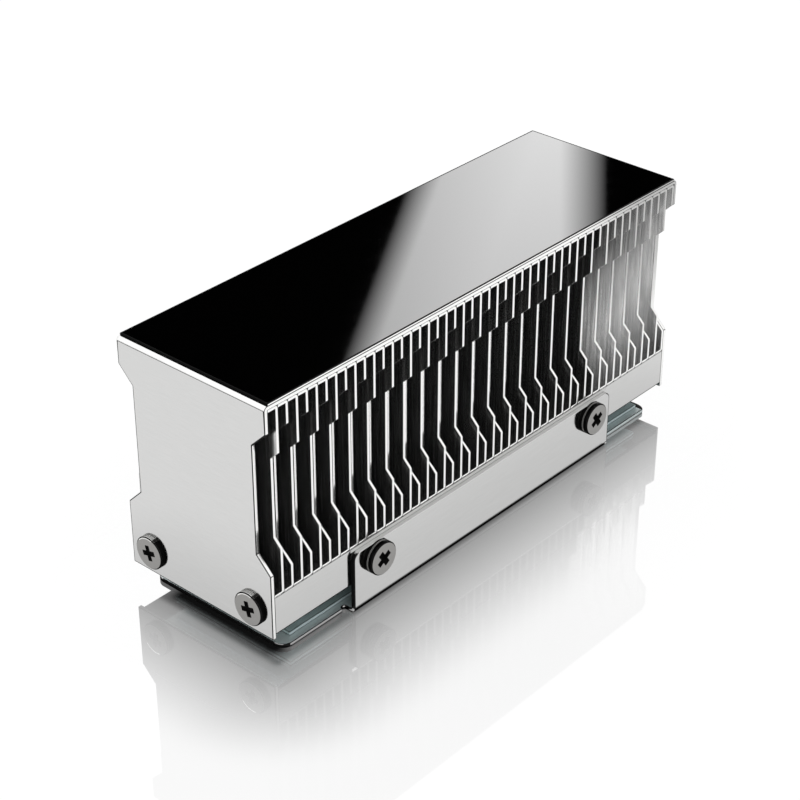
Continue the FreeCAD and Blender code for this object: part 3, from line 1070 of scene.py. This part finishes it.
@dataclass(frozen=True)
class ScrewSet:
    """Four like thin-head cross-recess screws.

    The gleam is a painted highlight: how near to the gleam's way a side face has to look to be painted light,
    1 for heads without one.
    """

    node: str
    head_height: float
    recess_depth: float
    recess_turn: float
    sheet: float
    head_radius: float = 2.25
    shank_radius: float = 1.2
    reach: float = 4.0
    recess_span: float = 2.7
    recess_arm: float = 0.66
    recess_taper: float = 0.42
    recess_softening: float = 0.05
    tool_height: float = 0.4
    softening: float = 0.03
    rim: float = 0.12
    rim_turns: Span = (0.3, 0.95)
    grooves: tuple[float, ...] = ()
    groove_width: float = 0.04
    groove_depth: float = 0.05
    side_share: float = 0.98
    outer_share: float = 0.9
    rim_ratio: float = 1.2
    recess_slack: float = 1.1
    gleam: float = 1.0
    gleam_fade: float = 0.13
    gleam_way: Span = (-0.3, 0.95)

    def groove(self, work: Workpiece, level: float) -> None:
        """Turn a fine groove into the head's side.

        Args:
            work: The screw.
            level: The groove's height.
        """
        def on_side(place: Vector) -> bool:
            """Tell the head's side from the rest."""
            return place.xy.length > self.head_radius * self.side_share

        half, narrow = self.groove_width / 2, 1 - self.groove_depth / self.head_radius
        work.slice([(0, 0, level + step) for step in (-half, 0, half)], (0, 0, 1), on_side)
        work.edit("VERT", lambda place: abs(place.z - level) < half / 4 and on_side(place),
                  bpy.ops.transform.resize, value=(narrow, narrow, 1), center_override=(0, 0, level))

    def cutter(self) -> Piece:
        """Shape the tool that leaves the tapered cross: two wedges at right angles, joined as one.

        Returns:
            The tool.
        """
        half, arm = self.recess_span / 2, self.recess_arm / 2
        arms = []
        for turn in (0.0, math.pi / 2):
            work = Workpiece.brick("recess_arm", (-half, -arm, -self.recess_depth),
                                   (half, arm, self.tool_height))
            for side in (1, -1):
                work.shift(lambda place: place.z < -CLOSE and place.x * side > 0,
                           (-side * half * self.recess_taper, 0, 0))
            work.soften(self.recess_softening)
            work.piece.rotation_euler = (0, 0, turn)
            work.apply_place()
            arms.append(work)
        arms[0].combine("UNION", arms[1].piece)
        return arms[0].piece

    def model(self) -> Workpiece:
        """Make one screw that points down its own Z axis, with its head's underside at zero.

        Returns:
            The screw.
        """
        top = self.head_height
        work = Workpiece.disc(f"{self.node}_pattern", self.head_radius, top)
        work.choose("FACE", lambda middle: middle.z > top - CLOSE)
        bpy.ops.mesh.inset(thickness=self.rim * self.rim_ratio, depth=0)
        bpy.ops.mesh.inset(thickness=self.rim, depth=0)
        work.done()
        work.shift(lambda place: place.z > top - CLOSE and place.xy.length > self.head_radius - CLOSE,
                   (0, 0, -self.rim))
        for level in self.grooves:
            self.groove(work, level)
        work.choose("FACE", lambda middle: middle.z < CLOSE)
        bpy.ops.mesh.inset(thickness=self.head_radius - self.shank_radius, depth=0)
        bpy.ops.mesh.extrude_region_move(TRANSFORM_OT_translate={"value": (0, 0, -self.sheet - self.reach)})
        work.done()
        tool = self.cutter()
        tool.location = (0, 0, top)
        tool.rotation_euler = (0, 0, math.radians(self.recess_turn))
        bpy.context.view_layer.update()
        work.combine("DIFFERENCE", tool)
        work.soften(self.softening)
        return work

    def part_of(self, face: Face) -> HeadPart:
        """Tell which finish a face of the screw takes.

        Args:
            face: The face.

        Returns:
            The part of the screw that it belongs to.
        """
        middle, reach = face.center, face.center.xy.length
        outer = reach > self.head_radius * self.outer_share
        groove = outer and any(abs(middle.z - level) < self.groove_width / 2 for level in self.grooves)
        rim = outer and self.rim_turns[0] < face.normal.z < self.rim_turns[1]
        recess_floor = self.head_height - self.recess_depth * self.recess_slack
        recess = reach < self.recess_span / 2 + 2 * CLOSE and middle.z > recess_floor
        # Painted highlight on the side that faces the gleam's way; the rim and the recess take the recess
        # finish, painted shade.
        if outer and middle.z > 0 and not groove and not rim:
            light = middle.xy.normalized().dot(Vector(self.gleam_way))
            if light > self.gleam:
                return HeadPart.GLEAM if light > self.gleam + self.gleam_fade else HeadPart.FACE
        flat = face.normal.z > self.rim_turns[1] and middle.z > self.head_height - CLOSE
        if flat or (groove and self.gleam == 1.0):
            return HeadPart.FACE
        return HeadPart.RECESS if recess or rim else HeadPart.SIDE

    def build(self, places: Sequence[tuple[Vector, Vector]], finishes: Sequence[Material]) -> None:
        """Set four copies in the place of the node's solids and join them.

        Args:
            places: For each screw, where its head sits and which way it faces.
            finishes: The screws' materials in the order of their parts.
        """
        work = self.model()
        work.dress(finishes)
        for face in work.piece.data.polygons:
            face.material_index = self.part_of(face)
        copies = []
        for seat, outwards in places:
            level = Vector((-outwards.y, outwards.x, 0))
            turn = Matrix((level, outwards.cross(level), outwards)).transposed()
            copy = link_copy(work.piece)
            copy.data.transform(Matrix.Translation(seat) @ turn.to_4x4())
            copies.append(copy)
        bpy.data.objects.remove(work.piece)
        select_only(copies[0])
        for copy in copies[1:]:
            copy.select_set(True)
        bpy.ops.object.join()
        joined = bpy.context.active_object
        joined.name = joined.data.name = f"cross_recess_{self.node}"
        finish(joined, Slot.SCREW, self.node)


@dataclass
class Screws:
    """The two sets of screws and their finishes."""

    cover: ScrewSet = ScrewSet("cover_screws", head_height=0.6, recess_depth=0.4, recess_turn=15.0, sheet=0.5,
                              grooves=(0.14, 0.32), gleam=0.68)
    tray: ScrewSet = ScrewSet("tray_screws", head_height=1.1, recess_depth=0.7, recess_turn=33.0, sheet=0.6,
                             recess_arm=0.78, grooves=(0.3, 0.42))
    cover_inset: float = 3.5
    # Painted light and shade: the side and the recess are darker copies of the head's metal, and the bright
    # side is a painted highlight.
    side: PlatedMetal = PlatedMetal("screw_side", colour=(0.05, 0.05, 0.05), roughness=0.14)
    face: PlatedMetal = PlatedMetal("screw_face", colour=(0.33, 0.325, 0.315), roughness=0.26, unevenness=0.08)
    recess: PlatedMetal = PlatedMetal("screw_recess", colour=(0.004, 0.004, 0.004), roughness=0.6,
                                      metallic=0.0, refraction=1.1)
    painted_shine: PlatedMetal = PlatedMetal("screw_bright_side", colour=(0.92, 0.92, 0.9), roughness=0.4,
                                     metallic=0.1)

    def build(self) -> None:
        """Seat both sets on the sheets that they clamp."""
        finishes = built(self.side, self.face, self.recess, self.painted_shine)
        block_low, block_high = node_box("base_block")
        height = (block_low.z + block_high.z) / 2
        cover_end = node_box("cover")[1].x
        across = block_high.y - self.cover_inset
        self.cover.build([(Vector((way * cover_end, place, height)), Vector((way, 0, 0)))
                          for way in (-1, 1) for place in (-across, across)], finishes)
        wing_face = node_box("tray")[1].y
        along = node_box("tray_screws")[1].x - self.tray.head_radius
        self.tray.build([(Vector((place, way * wing_face, height)), Vector((0, way, 0)))
                         for way in (-1, 1) for place in (-along, along)], finishes)


@dataclass(frozen=True)
class Spot:
    """A small lamp: where it hangs, where it points, its spread in degrees and its power in watts."""

    name: str
    place: Point
    aim: Point
    spread: float
    power: float
    radius: float = 6.0

    def hang(self, lit: bpy.types.Collection) -> None:
        """Hang the lamp, unseen by the camera and by reflections.

        Args:
            lit: The pieces that it lights, and no others.
        """
        data = bpy.data.lights.new(self.name, "SPOT")
        data.energy = self.power
        data.spot_size = math.radians(self.spread)
        data.spot_blend = 1.0
        data.shadow_soft_size = self.radius * MILLIMETRE
        lamp = bpy.data.objects.new(self.name, data)
        lamp.location = metres(*self.place)
        lamp.rotation_euler = (Vector(self.aim) - Vector(self.place)).to_track_quat("-Z", "Y").to_euler()
        lamp.visible_camera = lamp.visible_glossy = False
        lamp.light_linking.receiver_collection = lit
        bpy.context.scene.collection.objects.link(lamp)


@dataclass
class Studio:
    """The camera at the photograph's angle, a pale floor, a white room and soft lights.

    Lines and single places in the picture are pixels of the photograph. Lengths are in millimetres.
    """

    frame_pixels: float = 800.0
    focal_pixels: float = 2082.7
    eye: Vector = field(default_factory=lambda: Vector((-173.94, -151.55, 153.62)))
    forward: Vector = field(default_factory=lambda: Vector((0.63994, 0.56743, -0.51817)))
    up: Vector = field(default_factory=lambda: Vector((0.38815, 0.34328, 0.85528)))
    glare_left: Line = ((350, 340), (402, 200))
    glare_left_edge: Span = (0.0, 0.014)
    glare_rise: Span = (0.0, 0.05)
    glare_start: float = 0.75
    glare_right: Line = ((607, 100), (607, 250))
    glare_right_edge: Span = (0.0, 0.022)
    glare_strength: float = 4.9
    in_glare: Span = (480, 260)
    flag_foot: Line = ((250, 447), (700, 222))
    flag_foot_edge: Span = (-0.004, 0.004)
    flag_middle: Span = (400, 260)
    flag_edge: Span = (0.965, 0.98)
    above_foot: Span = (480, 200)
    below_foot: Span = (480, 480)
    room_glow: float = 0.3
    overhead: Span = (0.66, 0.8)
    horizon: Span = (0.22, 0.08)
    strip_glow: float = 1.6
    strip_middle: float = 0.567
    strip_width: Span = (0.2, 0.12)
    strip_length: Span = (0.6, 0.45)
    front_box: Vector = field(default_factory=lambda: Vector((0.64, -0.518, 0.567)))
    front_box_edge: Span = (0.82, 0.9)
    nested_sky: float = 0.1
    nested_floor: float = 0.03
    floor_radius: float = 4000.0
    floor_sides: int = 96
    floor_drop: float = 0.02
    floor_colour: float = 0.8
    floor_glow: float = 0.8
    floor_level: float = 1.08
    mirror: float = 0.74
    mirror_floor: float = 0.07
    mirror_bend: float = 0.15
    mirror_reach: float = 17.5
    foot_mirror: float = 0.13
    foot_mirror_reach: float = 1.2
    foot_inset: float = 0.8
    foot_margin: float = 0.65
    foot_edge: Span = (0.1, 0.4)
    halo: float = 0.17
    halo_reach: Span = (2.0, 20.0)
    contact: float = 0.96
    contact_reach: Span = (0.5, 2.7)
    contact_half_width: float = 9.6
    contact_end: float = 35.3
    contact_side: Span = (6.0, 8.2)
    first_lit_fin: int = 39
    spots: tuple[Spot, ...] = (
        Spot("fin_fill", (-60.0, -90.0, 60.0), (30.0, -12.0, 22.0), 60.0, 0.7),
        Spot("fin_low_spot", (-50.0, -90.0, 45.0), (29.0, -10.0, 18.0), 7.4, 18.5),
        Spot("fin_high_spot", (-50.0, -90.0, 45.0), (44.0, -10.0, 25.0), 12.0, 14.0))

    def camera(self) -> None:
        """Add the camera and make it the scene's."""
        data = bpy.data.cameras.new("camera")
        data.sensor_width = 36.0
        data.sensor_fit = "HORIZONTAL"
        data.lens = data.sensor_width * self.focal_pixels / self.frame_pixels
        data.clip_start = 0.01
        camera = bpy.data.objects.new("camera", data)
        back = -self.forward
        turn = Matrix((self.up.cross(back), self.up, back)).transposed().to_4x4()
        camera.matrix_world = Matrix.Translation(self.eye * MILLIMETRE) @ turn
        bpy.context.scene.collection.objects.link(camera)
        bpy.context.scene.camera = camera

    def mirrored_sight(self, pixel: Span) -> Vector:
        """Give the way that light goes when seen at a pixel of the photograph in a level mirror.

        Args:
            pixel: The pixel.

        Returns:
            The direction, of length 1.
        """
        middle = self.frame_pixels / 2
        side = self.forward.cross(self.up)
        sight = (self.forward * self.focal_pixels + side * (pixel[0] - middle) - self.up * (pixel[1] - middle))
        sight.z = -sight.z
        return sight.normalized()

    def side_of(self, shader: Shader, way: Socket, line: Line, inside: Span, edge: Span) -> Socket:
        """Tell on which side of a line a reflected way lies, where the line is drawn in the picture.

        Args:
            shader: The world's shader.
            way: The way that light comes from.
            line: Two pixels of the photograph.
            inside: A pixel on the wanted side.
            edge: The angles inside the line where the change starts and where it ends.

        Returns:
            1 on the wanted side and 0 on the other.
        """
        first, second = (self.mirrored_sight(pixel) for pixel in line)
        normal = first.cross(second).normalized()
        if normal.dot(self.mirrored_sight(inside)) < 0:
            normal = -normal
        start, end = edge
        step = shader.make("MapRange", value=shader.dot(way, normal), from_min=start, from_max=end)
        return step.outputs["Result"]

    def reflected_room(self, shader: Shader, way: Socket) -> Socket:
        """Shape what reflections see: bright boxes, a strip, a dark flag over the top, and the softbox in it.

        Args:
            shader: The world's shader.
            way: The way that light comes from.

        Returns:
            How bright the room is that way.
        """
        side = functools.partial(self.side_of, shader, way)
        parts = shader.parts(way)
        boxes = shader.most(
            shader.smooth(parts["Z"], *self.overhead), shader.smooth(parts["Z"], *self.horizon),
            shader.smooth(shader.dot(way, self.front_box.normalized()), *self.front_box_edge),
            side(self.flag_foot, self.below_foot, self.flag_foot_edge))
        room = shader.math("MULTIPLY_ADD", boxes, 1.0 - self.room_glow, self.room_glow)
        across = shader.math("ABSOLUTE", shader.math("SUBTRACT", parts["Y"], self.strip_middle))
        strip = shader.times(shader.smooth(across, *self.strip_width),
                             shader.smooth(parts["X"], *self.strip_length), self.strip_glow)
        above = side(self.flag_foot, self.above_foot, self.flag_foot_edge)
        to_flag = shader.dot(way, self.mirrored_sight(self.flag_middle))
        flag = shader.times(shader.smooth(to_flag, *self.flag_edge), above)
        room = shader.times(shader.most(room, strip), shader.rest(flag))
        rise = shader.math("MULTIPLY_ADD", side(self.glare_left, self.in_glare, self.glare_rise),
                           1.0 - self.glare_start, self.glare_start)
        glare = shader.times(side(self.glare_left, self.in_glare, self.glare_left_edge), rise,
                             side(self.glare_right, self.in_glare, self.glare_right_edge), above,
                             self.glare_strength)
        return shader.math("ADD", room, glare)

    def world(self) -> None:
        """Light the room: white all round, with dark flags and a softbox that only reflections show."""
        world = bpy.data.worlds.new("room")
        world.use_nodes = True
        bpy.context.scene.world = world
        shader = Shader(world.node_tree)
        path = shader.add("LightPath").outputs
        room = self.reflected_room(shader, shader.add("TexCoord").outputs["Generated"])
        level = shader.blend(shader.math("GREATER_THAN", path["Glossy Depth"], SECOND_BOUNCE), room,
                             self.nested_sky)
        spread = shader.times(path["Is Glossy Ray"], shader.rest(path["Is Singular Ray"]))
        light = shader.make("Background", color=WHITE, strength=shader.blend(spread, 1.0, level))
        shader.make("OutputWorld", surface=light.outputs["Background"])

    def fin_lamps(self) -> None:
        """Hang the lamps that brighten the fins of the far end, and no other piece."""
        lit = bpy.data.collections.new("far_fins")
        for number in range(self.first_lit_fin, FinStack.count + 1):
            lit.objects.link(bpy.data.objects[f"folded_fin_{number:02d}"])
        for spot in self.spots:
            spot.hang(lit)

    def gap(self, shader: Shader, place: Outputs, half_length: float, half_width: float) -> Socket:
        """Measure how far a place on the floor is from a rectangle about the origin.

        Args:
            shader: The floor's shader.
            place: The place's parts.
            half_length: Half the rectangle's length.
            half_width: Half its width.

        Returns:
            The distance in metres, 0 inside.
        """
        squares = []
        for axis, half in (("X", half_length), ("Y", half_width)):
            reach = shader.math("SUBTRACT", shader.math("ABSOLUTE", place[axis]), half * MILLIMETRE)
            reach = shader.most(reach, 0.0)
            squares.append(shader.times(reach, reach))
        return shader.math("SQRT", shader.math("ADD", *squares))

    def mirror_share(self, shader: Shader, distance: Socket) -> Socket:
        """Fade the floor's mirroring out with the distance from the block.

        Args:
            shader: The floor's shader.
            distance: The distance in metres.

        Returns:
            The share of the light that the floor mirrors.
        """
        fade = shader.feed(shader.add("MapRange", clamp=False), value=distance, from_min=0.0,
                           from_max=self.mirror_reach * MILLIMETRE, to_min=self.mirror,
                           to_max=self.mirror_floor)
        fade = shader.math("SMOOTH_MAX", fade.outputs["Result"], self.mirror_floor, self.mirror_bend)
        foot = shader.smooth(distance, 0.0, self.foot_mirror_reach * MILLIMETRE, self.foot_mirror, 0.0)
        return shader.math("ADD", fade, foot)

    def foot_shade(self, shader: Shader, place: Outputs, distance: Socket, path: Outputs) -> Socket:
        """Darken what reflections see of the floor, under and round the object, and in second mirrors.

        Args:
            shader: The floor's shader.
            place: The place's parts.
            distance: The distance from the block in metres.
            path: What kind of ray looks.

        Returns:
            How dark the floor is.
        """
        block, tray = node_box("base_block")[1], node_box("tray")[1]
        cover_end, wing_end = node_box("cover")[1].x, block.x - Tray.wing_inset
        under = shader.math("MINIMUM", self.gap(shader, place, cover_end, block.y - self.foot_inset),
                            self.gap(shader, place, wing_end, tray.y + self.foot_margin))
        foot = shader.most(shader.smooth(under, *metres(*self.foot_edge), 1.0, 0.0),
                           shader.smooth(distance, *metres(*self.halo_reach), self.halo, 0.0))
        nested = shader.math("GREATER_THAN", path["Glossy Depth"], SECOND_BOUNCE)
        return shader.most(shader.times(path["Is Glossy Ray"], foot),
                           shader.times(nested, 1.0 - self.nested_floor))

    def contact_shade(self, shader: Shader, place: Outputs, path: Outputs) -> Socket:
        """Shade the floor where it meets the near end of the tray.

        Args:
            shader: The floor's shader.
            place: The place's parts.
            path: What kind of ray looks.

        Returns:
            How much of the floor's light is taken away.
        """
        tray_end = node_box("tray")[1].x
        contact = shader.smooth(self.gap(shader, place, tray_end, self.contact_half_width),
                                *metres(*self.contact_reach), self.contact, 0.0)
        along = shader.smooth(place["X"], *metres(-tray_end, -self.contact_end), 1.0, 0.0)
        across = shader.smooth(place["Y"], *metres(*self.contact_side), 1.0, 0.0)
        return shader.times(path["Is Camera Ray"], along, across, contact)

    def floor(self) -> None:
        """Lay a wide pale floor, which mirrors the object near its foot and less further out."""
        radius, drop = metres(self.floor_radius, self.floor_drop)
        bpy.ops.object.select_all(action="DESELECT")
        bpy.ops.mesh.primitive_circle_add(vertices=self.floor_sides, radius=radius, fill_type="NGON",
                                          location=(0, 0, -drop))
        floor = bpy.context.active_object
        floor.name = "floor"
        material, shader = new_material("pale_floor")
        place = shader.parts(shader.add("TexCoord").outputs["Object"])
        path = shader.add("LightPath").outputs
        distance = self.gap(shader, place, *node_box("base_block")[1].xy)
        dark = self.foot_shade(shader, place, distance, path)
        seen = shader.math("MINIMUM", 1.0, shader.fold(
            "ADD", path["Is Camera Ray"], path["Is Glossy Ray"], path["Is Transmission Ray"]))
        glows = shader.times(seen, shader.most(self.floor_glow, dark))
        mirrors = shader.times(path["Is Camera Ray"], self.mirror_share(shader, distance))
        level = shader.times(self.floor_level, shader.rest(dark))
        matt = shader.make("BsdfDiffuse", color=(*[self.floor_colour] * 3, 1))
        glow = shader.make("Emission", color=WHITE, strength=level)
        gloss = shader.make("BsdfAnisotropic", color=WHITE, roughness=0.0)
        black = shader.make("Emission", strength=0.0)
        surface = shader.layer(glows, matt.outputs[0], glow.outputs[0])
        surface = shader.layer(mirrors, surface, gloss.outputs[0])
        surface = shader.layer(self.contact_shade(shader, place, path), surface, black.outputs[0])
        shader.make("OutputMaterial", surface=surface)
        floor.data.materials.append(material)

    def build(self) -> None:
        """Set up the camera, the room and the floor."""
        self.camera()
        self.world()
        self.floor()
        bpy.context.scene.view_settings.view_transform = "Standard"


def main() -> None:
    """Build the studio and every piece."""
    logging.basicConfig(level=logging.INFO, format="%(message)s")
    studio = Studio()
    studio.build()
    for assembly in (FinStack(), Cover(), TopPanel(), BaseBlock(), Tray(), ThermalPads(), Screws()):
        assembly.build()
    studio.fin_lamps()


if __name__ == "__main__":
    main()
